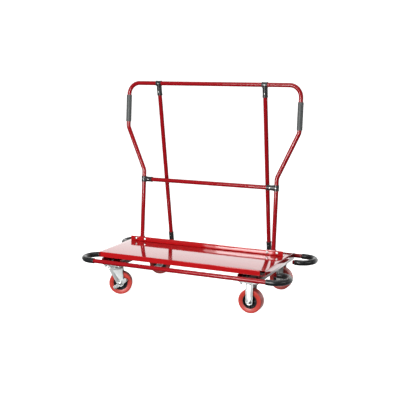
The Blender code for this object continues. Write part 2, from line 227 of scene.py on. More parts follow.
def make_studio():
    """Five lights, the air round the cart, and a white floor and wall."""
    softbox("overhead_box", (0.1, -0.2, 3.3), (0, 0, 0.3), 2.6, 2.2, 34)
    softbox("front_left_box", (-0.25, -3.0, 1.05), (0, 0, 0.6), 1.4, 1.1, 112)
    softbox("front_left_feather", (-1.08, -2.8, 1.05), (0, 0, 0.6), 0.26, 1.1, 7)
    softbox("right_side_box", (3.2, -0.8, 1.3), (0, 0, 0.5), 0.7, 1.5, 16)
    softbox("low_right_card", (0.78, 0.56, 0.15), (0.523, -0.10, 0.235), 0.5, 0.32, 0.5)

    # Studio air: bright behind the cart, dim in front, dark below but for the lit floor behind.
    world = bpy.data.worlds.new("studio_air")
    bpy.context.scene.world = world
    world.use_nodes = True
    tree = world.node_tree
    tree.nodes.clear()
    place = add_node(tree, "ShaderNodeTexCoord")
    split = add_node(tree, "ShaderNodeSeparateXYZ", {0: (place, "Generated")})
    rear = ramp(tree, (split, "Y"), 0.25, 0.75, 0.30, 1.45)
    high = ramp(tree, (split, "Z"), 0.30, 0.65, (rear, 0), 0.22)
    floor_behind = ramp(tree, (split, "Y"), 0.55, 0.80, 0.10, 0.95)
    below = ramp(tree, (split, "Z"), -0.23, -0.16, (floor_behind, 0), 0.10)
    whole = ramp(tree, (split, "Z"), -0.04, -0.01, (below, 0), (high, 0))
    air = add_node(tree, "ShaderNodeBackground", {"Color": linear("#ffffff"), "Strength": (whole, 0)})
    add_node(tree, "ShaderNodeOutputWorld", {"Surface": (air, 0)})

    # White painted studio floor and far wall: flat and even, with the faintest roller mottle.
    paint, tree, place = new_material("white_studio_paint")
    tone = mixed_colour(tree, noise(tree, place, 6.0, 3.0), "#e9e9e8", "#f0f0ef")
    surface_of(tree, {
        "Base Color": (tone, 2), "Roughness": 0.9, "IOR": 1.3,
        "Emission Color": linear("#ffffff"), "Emission Strength": 0.95,
    })
    bpy.ops.mesh.primitive_plane_add(size=5 * STUDIO_R, location=(0, 0, -0.0005))
    set_stage("studio_floor", paint)
    bpy.ops.mesh.primitive_cylinder_add(
        vertices=96, radius=STUDIO_R, depth=WALL_HEIGHT, end_fill_type="NOTHING",
        location=(0, 0, WALL_HEIGHT / 2 - 1),
    )
    wall = set_stage("studio_wall", paint)
    wall.visible_shadow = False


def set_stage(name, paint):
    """Paint a floor or wall. Only the camera sees it, and it isn't part of the cart."""
    made = bpy.context.active_object
    made.name = name
    made.data.materials.append(paint)
    made.visible_glossy = False
    made.visible_diffuse = False
    made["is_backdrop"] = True
    return made


# Finishes

def gloss_red_powder_coat(name, dark, light, index, coat):
    """Gloss polyester powder coat on steel: deep red, mirror-like skin, faint orange peel."""
    made, tree, place = new_material(name)
    colour = mixed_colour(tree, noise(tree, place, 9.0, 4.0), dark, light)
    # Orange peel about 3 mm across, and handling haze some 40 mm across.
    peel = relief(tree, noise(tree, place, 330.0, 2.0), 0.01, 0.0004)
    haze = noise(tree, place, 25.0, 5.0)
    rough = ramp(tree, (haze, 0), 0.35, 0.7, 0.07, 0.13)
    surface_of(tree, {
        "Base Color": (colour, 2), "Roughness": (rough, 0), "IOR": index,
        "Coat Weight": coat, "Coat Roughness": 0.04, "Coat IOR": 1.4, "Normal": (peel, 0),
    })
    return made


def bright_zinc_plate():
    """Bright zinc plate on stamped steel: silver with a cold blue cast and drawn streaks."""
    made, tree, place = new_material("bright_zinc_plate")
    cloud = noise(tree, place, 60.0, 4.0)
    colour = mixed_colour(tree, cloud, "#bcc3c6", "#dadbd7")
    # Rolling marks 0.5 mm apart, drawn out ten times along the sheet.
    stretch = add_node(tree, "ShaderNodeMapping", {
        "Vector": (place, "Object"), "Scale": (1.0, 1.0, 0.1),
    })
    streak = add_node(tree, "ShaderNodeTexNoise", {
        "Vector": (stretch, 0), "Scale": 1500.0, "Detail": 2.0,
    })
    rough = ramp(tree, (streak, 0), 0.3, 0.7, 0.44, 0.56)
    bump = relief(tree, cloud, 0.08, 0.0006)
    surface_of(tree, {
        "Base Color": (colour, 2), "Metallic": 1.0, "Roughness": (rough, 0), "Normal": (bump, 0),
    })
    return made


def dull_zinc_fastener():
    """Zinc plate on bolts and nuts: greyer and softer than on the sheets."""
    made, tree, place = new_material("dull_zinc_fastener")
    grain = noise(tree, place, 400.0, 3.0)
    colour = mixed_colour(tree, grain, "#a9aeb0", "#cdccc6")
    bump = relief(tree, grain, 0.15, 0.0003)
    surface_of(tree, {
        "Base Color": (colour, 2), "Metallic": 1.0, "Roughness": 0.34, "Normal": (bump, 0),
    })
    return made


def closed_cell_foam(name, dark, light, roughness):
    """Nitrile foam sleeve with its moulded skin: charcoal, dull sheen, fine closed pores."""
    made, tree, place = new_material(name)
    # Pores are 0.3 mm in the real skin; drawn at 1 mm so that they show.
    pores = add_node(tree, "ShaderNodeTexVoronoi", {"Vector": (place, "Object"), "Scale": 1000.0})
    waves = noise(tree, place, 70.0, 4.0)
    colour = mixed_colour(tree, waves, dark, light)
    skin = relief(tree, pores, 0.18, 0.0004)
    soft = relief(tree, waves, 0.25, 0.0015, Normal=(skin, 0))
    rough = ramp(tree, (waves, 0), 0.3, 0.7, roughness - 0.05, roughness + 0.08)
    surface_of(tree, {
        "Base Color": (colour, 2), "Roughness": (rough, 0), "IOR": 1.5,
        "Sheen Weight": 0.08, "Sheen Roughness": 0.5, "Normal": (soft, 0),
    })
    return made


def black_glass_filled_nylon():
    """Moulded black nylon: near black, satin, with a fine eroded grain."""
    made, tree, place = new_material("black_glass_filled_nylon")
    cloud = noise(tree, place, 80.0, 3.0)
    colour = mixed_colour(tree, cloud, "#161718", "#232527")
    grain = relief(tree, noise(tree, place, 1600.0, 2.0), 0.2, 0.0003)
    rough = ramp(tree, (cloud, 0), 0.0, 1.0, 0.28, 0.42)
    surface_of(tree, {
        "Base Color": (colour, 2), "Roughness": (rough, 0), "IOR": 1.53, "Normal": (grain, 0),
    })
    return made


def cast_polyurethane():
    """Cast polyurethane tyre: translucent brick red, satin, scuffed where it rolls."""
    made, tree, place = new_material("cast_polyurethane")
    colour = mixed_colour(tree, noise(tree, place, 45.0, 5.0), "#a52c24", "#bb3a2e")
    scuff = noise(tree, place, 600.0, 4.0)
    bump = relief(tree, scuff, 0.12, 0.0004)
    rough = ramp(tree, (scuff, 0), 0.0, 1.0, 0.30, 0.50)
    surface_of(tree, {
        "Base Color": (colour, 2), "Roughness": (rough, 0), "IOR": 1.5, "Normal": (bump, 0),
        "Subsurface Weight": 0.12, "Subsurface Radius": (0.006, 0.0015, 0.001), "Subsurface Scale": 1.0,
    })
    return made


make_studio()
RED = gloss_red_powder_coat("gloss_red_powder_coat_sheet", "#990a0e", "#a60d12", 1.4, 1.0)
TUBE_RED = gloss_red_powder_coat("gloss_red_powder_coat_tube", "#840a12", "#900e17", 1.36, 0.0)
# The channels take a darker red than the sheet: painted shade for the dim space under the deck.
CHANNEL_RED_PAINTED_SHADE = gloss_red_powder_coat("painted_shade_red_powder_coat_channel", "#4e070b", "#5a0a0f", 1.4, 0.5)
ZINC = bright_zinc_plate()
FASTENER = dull_zinc_fastener()
LOOP_FOAM = closed_cell_foam("closed_cell_foam_loop", "#0c0e0f", "#151819", 0.27)
GRIP_FOAM = closed_cell_foam("closed_cell_foam_grip", "#3a3e3e", "#4a4f4e", 0.50)
NYLON = black_glass_filled_nylon()
URETHANE = cast_polyurethane()


# Hand tools

def only(piece):
    """Select one piece alone and make it the active one."""
    bpy.ops.object.select_all(action="DESELECT")
    piece.select_set(True)
    bpy.context.view_layer.objects.active = piece


def settle(piece):
    """Put a piece's place, turn and size into its mesh."""
    only(piece)
    bpy.ops.object.transform_apply(location=True, rotation=True, scale=True)
    return piece


def started(name):
    """Name the piece that was just added."""
    piece = bpy.context.active_object
    piece.name = name
    piece.data.name = name
    return settle(piece)


def block(name, low, high):
    low = Vector(low)
    high = Vector(high)
    bpy.ops.mesh.primitive_cube_add(size=1, location=(low + high) / 2, scale=high - low)
    return started(name)


def round_bar(name, start, end, radius, sides=32):
    start = Vector(start)
    along = Vector(end) - start
    bpy.ops.mesh.primitive_cylinder_add(
        vertices=sides, radius=radius, depth=along.length,
        location=start + along / 2, rotation=along.to_track_quat("Z", "Y").to_euler(),
    )
    return started(name)


def pick(piece, kind, test):
    """In edit mode, select only the corners, edges or faces that pass a test."""
    bpy.ops.mesh.select_mode(type=kind)
    bpy.ops.mesh.select_all(action="DESELECT")
    shape = bmesh.from_edit_mesh(piece.data)
    shape.normal_update()
    for item in {"VERT": shape.verts, "EDGE": shape.edges, "FACE": shape.faces}[kind]:
        if test(item):
            item.select_set(True)
    shape.select_flush_mode()
    bmesh.update_edit_mesh(piece.data)


def middle(edge):
    return (edge.verts[0].co + edge.verts[1].co) / 2


def run_of(edge):
    return (edge.verts[1].co - edge.verts[0].co).normalized()


def modify(piece, kind, **settings):
    """Add a modifier and apply it."""
    only(piece)
    step = piece.modifiers.new(kind.lower(), kind)
    for name, value in settings.items():
        setattr(step, name, value)
    bpy.ops.object.modifier_apply(modifier=step.name)


def soften(piece, width, segments=2, angle=35):
    """Ease a piece's sharp edges."""
    modify(piece, "BEVEL", width=width, segments=segments, limit_method="ANGLE",
           angle_limit=math.radians(angle), harden_normals=False)


def carve(piece, tool, operation="DIFFERENCE"):
    """Cut a tool out of a piece, or join or cross the two, and use the tool up."""
    modify(piece, "BOOLEAN", object=tool, operation=operation, solver="EXACT")
    bpy.data.objects.remove(tool)


def face_outwards(piece):
    only(piece)
    bpy.ops.object.mode_set(mode="EDIT")
    bpy.ops.mesh.select_all(action="SELECT")
    bpy.ops.mesh.remove_doubles(threshold=0.000005)
    bpy.ops.mesh.normals_make_consistent(inside=False)
    bpy.ops.object.mode_set(mode="OBJECT")


def joined(name, pieces):
    bpy.ops.object.select_all(action="DESELECT")
    for piece in pieces:
        piece.select_set(True)
    bpy.context.view_layer.objects.active = pieces[0]
    bpy.ops.object.join()
    pieces[0].name = name
    pieces[0].data.name = name
    return pieces[0]


def twin(piece, name, move=(0, 0, 0), turn=(0, 0, 0)):
    """A copy with its own mesh, turned about the origin and moved."""
    only(piece)
    bpy.ops.object.duplicate()
    made = bpy.context.active_object
    made.name = name
    made.data.name = name
    return placed(made, move, turn)


def placed(piece, place, turn=(0, 0, 0)):
    """Turn a piece about the origin, then move it to its place."""
    piece.location = place
    piece.rotation_euler = turn
    return settle(piece)


def finish_piece(piece, material, body, slot, *nodes, angle=38):
    """Smooth and paint a piece, tie it to its body and hide the CAD nodes that it stands for."""
    only(piece)
    bpy.ops.object.shade_smooth_by_angle(angle=math.radians(angle))
    piece.data.materials.clear()
    piece.data.materials.append(material)
    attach(piece, body)
    if nodes:
        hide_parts(*nodes)
    return piece


def bent_tube(name, corners, bends, radius, sides=36, wall=None):
    """A tube drawn from a ring: it runs to each corner's bend and is spun round it."""
    corners = [Vector(corner) for corner in corners]
    way = (corners[1] - corners[0]).normalized()
    bpy.ops.mesh.primitive_circle_add(
        vertices=sides, radius=radius, location=corners[0],
        rotation=way.to_track_quat("Z", "Y").to_euler(),
    )
    tube = started(name)
    bpy.ops.object.mode_set(mode="EDIT")
    bpy.ops.mesh.select_all(action="SELECT")
    here = corners[0]
    for before, corner, after, bend in zip(corners, corners[1:], corners[2:], bends):
        arrive = (corner - before).normalized()
        leave = (after - corner).normalized()
        turn = arrive.angle(leave)
        reach = arrive * bend * math.tan(turn / 2)
        axis = arrive.cross(leave).normalized()
        if (corner - reach - here).length > 0.0001:
            extrude(corner - reach - here)
        bpy.ops.mesh.spin(
            steps=max(5, round(turn / math.radians(5))), angle=-turn,
            center=corner - reach + axis.cross(arrive) * bend, axis=axis,
        )
        here = corner + leave * reach.length
    extrude(corners[-1] - here)
    bpy.ops.object.mode_set(mode="OBJECT")
    if not wall:
        cap_ends(tube)
    face_outwards(tube)
    if wall:
        modify(tube, "SOLIDIFY", thickness=wall, offset=-1)
    return tube


def extrude(way):
    bpy.ops.mesh.extrude_region_move(TRANSFORM_OT_translate={"value": way})


def cap_ends(piece):
    """Close every open ring of a piece."""
    only(piece)
    bpy.ops.object.mode_set(mode="EDIT")
    bpy.ops.mesh.select_mode(type="EDGE")
    bpy.ops.mesh.select_all(action="DESELECT")
    bpy.ops.mesh.select_non_manifold(extend=False)
    bpy.ops.mesh.edge_face_add()
    bpy.ops.object.mode_set(mode="OBJECT")


def turned(name, profile, sides=48, place=(0, 0, 0), turn=(0, 0, 0)):
    """A turned piece: a ring is pulled along Z and resized at each step of (radius, height)."""
    radius, height = profile[0]
    bpy.ops.mesh.primitive_circle_add(vertices=sides, radius=radius, location=(0, 0, height))
    piece = started(name)
    bpy.ops.object.mode_set(mode="EDIT")
    bpy.ops.mesh.select_all(action="SELECT")
    for wide, high in profile[1:]:
        extrude((0, 0, high - height))
        bpy.ops.transform.resize(value=(wide / radius, wide / radius, 1), center_override=(0, 0, high))
        radius, height = wide, high
    bpy.ops.object.mode_set(mode="OBJECT")
    if profile[0] != profile[-1]:
        cap_each_end(piece, profile)
    face_outwards(piece)
    return placed(piece, place, turn)


def cap_each_end(piece, profile):
    """Close the first and the last ring of a turned piece."""
    only(piece)
    bpy.ops.object.mode_set(mode="EDIT")
    for radius, height in (profile[0], profile[-1]):
        pick(piece, "EDGE", lambda e: e.is_boundary and abs(middle(e).z - height) < 0.00001
             and abs(e.verts[0].co.xy.length - radius) < 0.00002)
        bpy.ops.mesh.edge_face_add()
    bpy.ops.object.mode_set(mode="OBJECT")


def hexagon(name, across, low, high, chamfer=0.0006):
    """A hexagon head or nut about Z, its corners eased."""
    bpy.ops.mesh.primitive_cylinder_add(
        vertices=6, radius=across / math.sqrt(3), depth=high - low, location=(0, 0, (low + high) / 2),
    )
    piece = started(name)
    soften(piece, chamfer, segments=2, angle=50)
    return piece


def on_hoop(x, z):
    """The point of the hoop's plane at a given height."""
    along = (z - POST_FOOT_Z) / math.cos(LEAN)
    return Vector((x, HOOP_Y, POST_FOOT_Z)) + HOOP_UP * along


def bead(name, start, end, radius):
    """A weld bead: a bar of overlapping ripples that tapers at both ends."""
    start = Vector(start)
    along = Vector(end) - start
    ripples = max(5, round(along.length / 0.0022))
    profile = [(radius * 0.35, 0.0)]
    for i in range(1, ripples):
        bulge = 1.0 if i % 2 else 0.82
        profile.append((radius * bulge, along.length * i / ripples))
    profile.append((radius * 0.35, along.length))
    return turned(name, profile, 14, start, along.to_track_quat("Z", "Y").to_euler())


# Deck

def make_deck():
    """A sheet folded down on four sides, each end with a lip turned in."""
    low, high = map(Vector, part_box("deck_pan"))
    deck = block("deck_sheet", low, high)
    bpy.ops.object.mode_set(mode="EDIT")
    pick(deck, "FACE", lambda f: f.normal.z < -0.9)
    bpy.ops.mesh.delete(type="FACE")
    slits = {-1: (low.x + APRON_LEFT_STOP, high.x - LIP), 1: (low.x + LIP, high.x - LIP)}
    for facing, (first, last) in slits.items():
        for x in (first, last):
            pick(deck, "FACE", lambda f: f.normal.y * facing > 0.9)
            bpy.ops.mesh.bisect(plane_co=(x, 0, 0), plane_no=(1, 0, 0))
        pick(deck, "FACE", lambda f: f.normal.y * facing > 0.9
             and not first < f.calc_center_median().x < last)
        bpy.ops.mesh.delete(type="FACE")
    for side in (-1, 1):
        pick(deck, "EDGE", lambda e: abs(run_of(e).y) > 0.9 and middle(e).z < low.z + 0.001
             and middle(e).x * side > 0)
        extrude((-side * LIP, 0, 0))
    pick(deck, "EDGE", lambda e: e.is_manifold and e.calc_face_angle(0) > 1)
    bpy.ops.mesh.bevel(offset=0.0028, segments=5, profile=0.5, affect="EDGES")
    bpy.ops.object.mode_set(mode="OBJECT")
    modify(deck, "SOLIDIFY", thickness=SHEET, offset=-1)
    soften(deck, 0.0003, 1, 50)
    finish_piece(deck, RED, "frame", "red_powder_coat", "deck_pan", angle=30)


def make_rail():
    """An angle on the deck, its corner folded on a small radius."""
    low, high = map(Vector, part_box("deck_rail"))
    rail = block("rail_angle", low, high)
    bpy.ops.object.mode_set(mode="EDIT")
    pick(rail, "FACE", lambda f: f.normal.y > 0.9 or f.normal.z > 0.9 or abs(f.normal.x) > 0.9)
    bpy.ops.mesh.delete(type="FACE")
    pick(rail, "EDGE", lambda e: e.is_manifold and e.calc_face_angle(0) > 1)
    bpy.ops.mesh.bevel(offset=0.003, segments=4, profile=0.5, affect="EDGES")
    bpy.ops.object.mode_set(mode="OBJECT")
    modify(rail, "SOLIDIFY", thickness=ANGLE_T, offset=-1)
    soften(rail, 0.0005)
    finish_piece(rail, RED, "frame", "red_powder_coat", "deck_rail", angle=30)


def make_rail_bolts():
    """Domed heads in front of the rail, washers and nuts behind."""
    dome = [
        (0.0086, 0.0), (0.0086, 0.0010), (0.0080, 0.0024), (0.0064, 0.0039), (0.0040, 0.0049),
        (0.0014, 0.0053),
    ]
    back = -0.0086
    shank = [(0.0038, 0.0), (0.0038, back - 0.0080), (0.0032, back - 0.0088)]
    bolt = joined("rail_bolt", [
        turned("dome", dome, 32),
        turned("shank", shank, 16),
        turned("washer", [(0.0068, back), (0.0068, back - 0.0010)], 28),
        hexagon("nut", 0.0115, back - 0.0060, back - 0.0010),
    ])
    for x in [side * (POST_X + step * BOLT_SPREAD) for side in (-1, 1) for step in (-1, 1)]:
        node = cad_bolt_at(x)
        copy = twin(bolt, "dome_" + node, (x, RAIL_FRONT - 0.0002, BOLT_Z), (math.pi / 2, 0, 0))
        finish_piece(copy, FASTENER, "frame", "zinc_plate", node)
    bpy.data.objects.remove(bolt)


def cad_bolt_at(x):
    """The rail bolt node that stands at x."""
    names = [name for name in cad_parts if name.startswith("rail_bolt_")]
    return min(names, key=lambda name: abs(sum(corner[0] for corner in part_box(name)) / 2 - x))


def make_post_feet():
    """A bolted plate with a socket ring that is welded round the post's foot."""
    for word, side in (("left", -1), ("right", 1)):
        x = side * POST_X
        low, high = map(Vector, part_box("post_foot_" + word))
        plate = block("foot", low, (high.x, low.y + 0.005, high.z))
        bpy.ops.object.mode_set(mode="EDIT")
        pick(plate, "EDGE", lambda e: abs(run_of(e).y) > 0.9)
        bpy.ops.mesh.bevel(offset=0.005, segments=5, affect="EDGES")
        bpy.ops.object.mode_set(mode="OBJECT")
        ring_y = HOOP_Y + 0.001
        carve(plate, round_bar("ring", (x, ring_y, low.z), (x, ring_y, high.z), SOCKET_R, 40), "UNION")
        foot = on_hoop(x, low.z)
        bore = round_bar("bore", foot - HOOP_UP * 0.02, foot + HOOP_UP * 0.06, TUBE_R + 0.0003, 40)
        carve(plate, bore)
        soften(plate, 0.0008, 2, 40)
        plate.name = "post_socket_" + word
        finish_piece(plate, TUBE_RED, "frame", "red_powder_coat", "post_foot_" + word)
        seam = turned("socket_weld_" + word, weld_ring(TUBE_R, 0.0022), 44)
        top = on_hoop(x, high.z + 0.0004)
        placed(seam, top, HOOP_UP.to_track_quat("Z", "Y").to_euler())
        finish_piece(seam, TUBE_RED, "frame", "red_powder_coat", angle=60)


def weld_ring(radius, size):
    """A fillet round a tube: a closed, triangular ring with a bulged face."""
    return [
        (radius + 0.0001, 0.0), (radius + size, 0.0), (radius + size * 0.72, size * 0.60),
        (radius + 0.0001, size), (radius + 0.0001, 0.0),
    ]


# Base frame

def make_channel(word, side):
    """A wide channel with rounded folds, web down, open at the top and at both ends."""
    node = "cross_channel_" + word
    low, high = map(Vector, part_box(node))
    channel = block("channel_" + word, low, high)
    bpy.ops.object.mode_set(mode="EDIT")
    pick(channel, "FACE", lambda f: f.normal.z > 0.9 or abs(f.normal.y) > 0.9)
    bpy.ops.mesh.delete(type="FACE")
    pick(channel, "EDGE", lambda e: e.is_manifold and e.calc_face_angle(0) > 1)
    bpy.ops.mesh.bevel(offset=0.004, segments=4, affect="EDGES")
    bpy.ops.object.mode_set(mode="OBJECT")
    modify(channel, "SOLIDIFY", thickness=CHANNEL_T, offset=-1)
    soften(channel, 0.0005)
    # The channel and its welds take the darker red: painted shade for the space under the deck.
    finish_piece(channel, CHANNEL_RED_PAINTED_SHADE, "frame", "red_powder_coat", node, angle=30)
    welds = joined("channel_welds_" + word, channel_beads(side * CASTER_X, low, high))
    finish_piece(welds, CHANNEL_RED_PAINTED_SHADE, "frame", "red_powder_coat", angle=60)


def channel_beads(x, low, high):
    """Beads along a channel's flanges and web, where it meets the deck and both base tubes."""
    half = (high.x - low.x) / 2
    web_z = low.z + 0.0035
    beads = []
    for facing, deck_y in ((-1, -0.255), (1, 0.090)):
        y = facing * (BUMPER_Y - TUBE_R - 0.0008)
        for flank in (-1, 1):
            wall = x + flank * (half - 0.0015)
            beads.append(bead("bead", (wall, y, BUMPER_Z - 0.010), (wall, y, BUMPER_Z + 0.010), 0.0028))
            seat = x + flank * (half - 0.0012)
            beads.append(bead("bead", (seat, deck_y - 0.02, high.z), (seat, deck_y + 0.02, high.z), 0.0024))
        y = facing * (BUMPER_Y - TUBE_R - 0.0014)
        for start in (-0.045, 0.010):
            beads.append(bead("bead", (x + start, y, web_z), (x + start + 0.035, y, web_z), 0.0026))
    return beads


def make_bumper(word, facing):
    """A long tube with a half turn at each end, and a foam sleeve on each half turn."""
    outer = facing * BUMPER_Y
    inner = facing * (BUMPER_Y - 2 * LOOP_R)
    tip = LOOP_X + LOOP_R
    tube = bent_tube("base_tube_" + word, [
        (-LOOP_END_X, inner, BUMPER_Z), (-tip, inner, BUMPER_Z), (-tip, outer, BUMPER_Z),
        (tip, outer, BUMPER_Z), (tip, inner, BUMPER_Z), (LOOP_END_X, inner, BUMPER_Z),
    ], [LOOP_R] * 4, TUBE_R, wall=TUBE_WALL)
    soften(tube, 0.0004, 2, 60)
    finish_piece(tube, TUBE_RED, "frame", "red_powder_coat", "bumper_tube_" + word)
    for end, side in (("left", -1), ("right", 1)):
        sleeve = bent_tube("foam_loop_" + word + "_" + end, [
            (side * FOAM_START_X, outer, BUMPER_Z), (side * tip, outer, BUMPER_Z),
            (side * tip, inner, BUMPER_Z), (side * FOAM_END_X, inner, BUMPER_Z),
        ], [LOOP_R] * 2, FOAM_R - 0.0002, 40, wall=FOAM_WALL)
        swell(sleeve)
        node = "bumper_foam_" + word + "_" + end
        finish_piece(sleeve, LOOP_FOAM, "frame", "bumper_foam", node, angle=60)


def swell(sleeve):
    """Foam gives: its ends are rounded and its skin is gently uneven."""
    soften(sleeve, 0.0012, 4, 60)
    uneven = bpy.data.textures.new("foam_waves", "CLOUDS")
    uneven.noise_scale = 0.02
    modify(sleeve, "DISPLACE", texture=uneven, strength=0.0006, mid_level=0.6, texture_coords="LOCAL")


# Hoop, cross bar and struts

def make_hoop():
    """Posts, slanted shoulders, upper sides and top bar in one tube, with a foam grip on each side."""
    outline = [(POST_X, POST_FOOT_Z), (POST_X, KNEE_Z), (UPPER_X, ELBOW_Z), (UPPER_X, HOOP_TOP_Z)]
    corners = [on_hoop(-x, z) for x, z in outline] + [on_hoop(x, z) for x, z in outline[::-1]]
    bends = [KNEE_R, KNEE_R, CORNER_R, CORNER_R, KNEE_R, KNEE_R]
    hoop = bent_tube("hoop_tube", corners, bends, TUBE_R, 40)
    finish_piece(hoop, TUBE_RED, "frame", "red_powder_coat", "hoop_frame")
    for word, side in (("left", -1), ("right", 1)):
        ends = [on_hoop(side * UPPER_X, z) for z in GRIPS[word]]
        grip = bent_tube("foam_grip_" + word, ends, [], FOAM_R - 0.0002, 40, wall=FOAM_WALL)
        only(grip)
        bpy.ops.object.mode_set(mode="EDIT")
        pick(grip, "EDGE", lambda e: abs(run_of(e).dot(HOOP_UP)) > 0.9)
        bpy.ops.mesh.subdivide(number_cuts=23)
        bpy.ops.object.mode_set(mode="OBJECT")
        swell(grip)
        finish_piece(grip, GRIP_FOAM, "frame", "grip_foam", "hand_grip_" + word, angle=60)


def make_tie(name, node, start, end):
    """A straight tube whose ends are held in two tee clamps."""
    start = Vector(start)
    end = Vector(end)
    stop = (end - start).normalized() * (TUBE_R + 0.003)
    tie = bent_tube(name, [start + stop, end - stop], [], TUBE_R, 40)
    finish_piece(tie, TUBE_RED, "frame", "red_powder_coat", node)


def model_tee(length):
    """A moulded tee with its collar along X and its sleeve up Z, rims and gussets on it."""
    half = COLLAR_LENGTH / 2
    rim = COLLAR_R
    thin = COLLAR_R - 0.0012
    collar = turned("collar", [
        (rim - 0.0006, -half), (rim, -half + 0.0006), (rim, -half + 0.0040), (thin, -half + 0.0050),
        (thin, half - 0.0050), (rim, half - 0.0040), (rim, half - 0.0006), (rim - 0.0006, half),
    ], 44, turn=(0, math.pi / 2, 0))
    sleeve = turned("sleeve", [
        (thin, 0.003), (thin, length - 0.0075), (rim, length - 0.0060), (rim, length - 0.0006),
        (rim - 0.0006, length),
    ], 44)
    carve(collar, sleeve, "UNION")
    for flank in (-1, 1):
        gusset = block("gusset", (-0.0015, -0.0015, 0), (0.0015, 0.0015, 0.010))
        bpy.ops.object.mode_set(mode="EDIT")
        bpy.ops.mesh.select_all(action="SELECT")
        bpy.ops.transform.translate(value=(flank * (COLLAR_R - 0.0011), 0, COLLAR_R - 0.0015))
        pick(gusset, "VERT", lambda v: v.co.z > COLLAR_R + 0.005)
        bpy.ops.transform.translate(value=(-flank * 0.0012, 0, 0))
        bpy.ops.object.mode_set(mode="OBJECT")
        carve(collar, gusset, "UNION")
    carve(collar, round_bar("bore", (-0.03, 0, 0), (0.03, 0, 0), TUBE_R + 0.0002, 44))
    carve(collar, round_bar("bore", (0, 0, 0.002), (0, 0, length + 0.01), TUBE_R + 0.0002, 44))
    soften(collar, 0.0005, 2, 50)
    return collar


def model_clamp_screws(length):
    """Two pan-head screws that pinch the tee on its tubes, each with a round recess."""
    made = []
    for place in ((0, 0, length - 0.022), (0, 0, 0)):
        head = turned("screw", [
            (0.0036, 0.0), (0.0036, 0.0011), (0.0031, 0.0019), (0.0019, 0.0022), (0.0017, 0.0011),
        ], 24)
        made.append(placed(head, Vector(place) + Vector((0, -COLLAR_R + 0.0016, 0)), (math.pi / 2, 0, 0)))
    return joined("clamp_screws", made)


def make_tee(word, centre, collar_way, sleeve_way, length):
    """Turn a tee into place: its collar along one tube, its sleeve along the other."""
    up = Vector(sleeve_way).normalized()
    along = Vector(collar_way).normalized()
    along = (along - up * along.dot(up)).normalized()
    if up.cross(along).y < 0:
        along = -along
    side = up.cross(along)
    turn = matrix_of(along, side, up).to_euler()
    tee = placed(model_tee(length), centre, turn)
    tee.name = "tee_" + word
    finish_piece(tee, NYLON, "frame", "black_moulding", word)
    screws = placed(model_clamp_screws(length), centre, turn)
    screws.name = "screws_" + word
    finish_piece(screws, FASTENER, "frame", "zinc_plate")


def matrix_of(x, y, z):
    """The turn that takes the three axes to three given ways."""
    return Matrix((x, y, z)).transposed()


def make_upper_frame():
    """Hoop, cross bar and struts, with a tee clamp wherever two of them meet."""
    make_hoop()
    across = Vector((1, 0, 0))
    bar_left = on_hoop(-POST_X, CROSS_BAR_Z)
    bar_right = on_hoop(POST_X, CROSS_BAR_Z)
    make_tie("cross_tube", "cross_bar", bar_left, bar_right)
    make_tee("cross_bar_clamp_left", bar_left, HOOP_UP, across, CROSS_SLEEVE)
    make_tee("cross_bar_clamp_right", bar_right, HOOP_UP, -across, CROSS_SLEEVE)
    for word, side in (("left", -1), ("right", 1)):
        top = on_hoop(side * STRUT_TOP_X[word], HOOP_TOP_Z)
        foot = Vector((side * STRUT_FOOT_X[word], BUMPER_Y, BUMPER_Z))
        make_tie("strut_tube_" + word, "strut_" + word, top, foot)
        make_tee("strut_top_clamp_" + word, top, across, foot - top, STRUT_SLEEVE)
        make_tee("strut_foot_clamp_" + word, foot, across, top - foot, STRUT_SLEEVE)


# Casters, modelled over the floor point under the plate's middle

def model_plate():
    """The mounting plate: round corners and four slots for its bolts."""
    low = (-PLATE_HALF_X, -PLATE_HALF_Y, CASTER_TOP - PLATE_T)
    plate = block("plate", low, (PLATE_HALF_X, PLATE_HALF_Y, CASTER_TOP))
    bpy.ops.object.mode_set(mode="EDIT")
    pick(plate, "EDGE", lambda e: abs(run_of(e).z) > 0.9)
    bpy.ops.mesh.bevel(offset=0.009, segments=6, affect="EDGES")
    bpy.ops.object.mode_set(mode="OBJECT")
    for x, y in plate_bolt_places():
        slot = block("slot", (x - 0.008, y - 0.0045, 0.17), (x + 0.008, y + 0.0045, 0.19))
        bpy.ops.object.mode_set(mode="EDIT")
        pick(slot, "EDGE", lambda e: abs(run_of(e).z) > 0.9)
        bpy.ops.mesh.bevel(offset=0.0044, segments=5, affect="EDGES")
        bpy.ops.object.mode_set(mode="OBJECT")
        carve(plate, slot)
    return plate


def plate_bolt_places():
    return [(x * PLATE_BOLT_X, y * PLATE_BOLT_Y) for x in (-1, 1) for y in (-1, 1)]


def model_leg_shape(half, axle_x, top_z):
    """A slab across both legs: a disc at the axle whose upper half is pulled up and out."""
    bpy.ops.mesh.primitive_cylinder_add(
        vertices=48, radius=LEG_FOOT_R, depth=0.09, location=(axle_x, 0, WHEEL_R),
        rotation=(math.pi / 2, 0, 0),
    )
    slab = started("leg_shape")
    bpy.ops.object.mode_set(mode="EDIT")
    pick(slab, "VERT", lambda v: v.co.z > WHEEL_R + 0.0001)
    bpy.ops.transform.resize(value=(half / LEG_FOOT_R, 1, 0), center_override=(axle_x, 0, top_z))
    bpy.ops.transform.translate(value=(-axle_x, 0, 0))
    bpy.ops.object.mode_set(mode="OBJECT")
    return slab


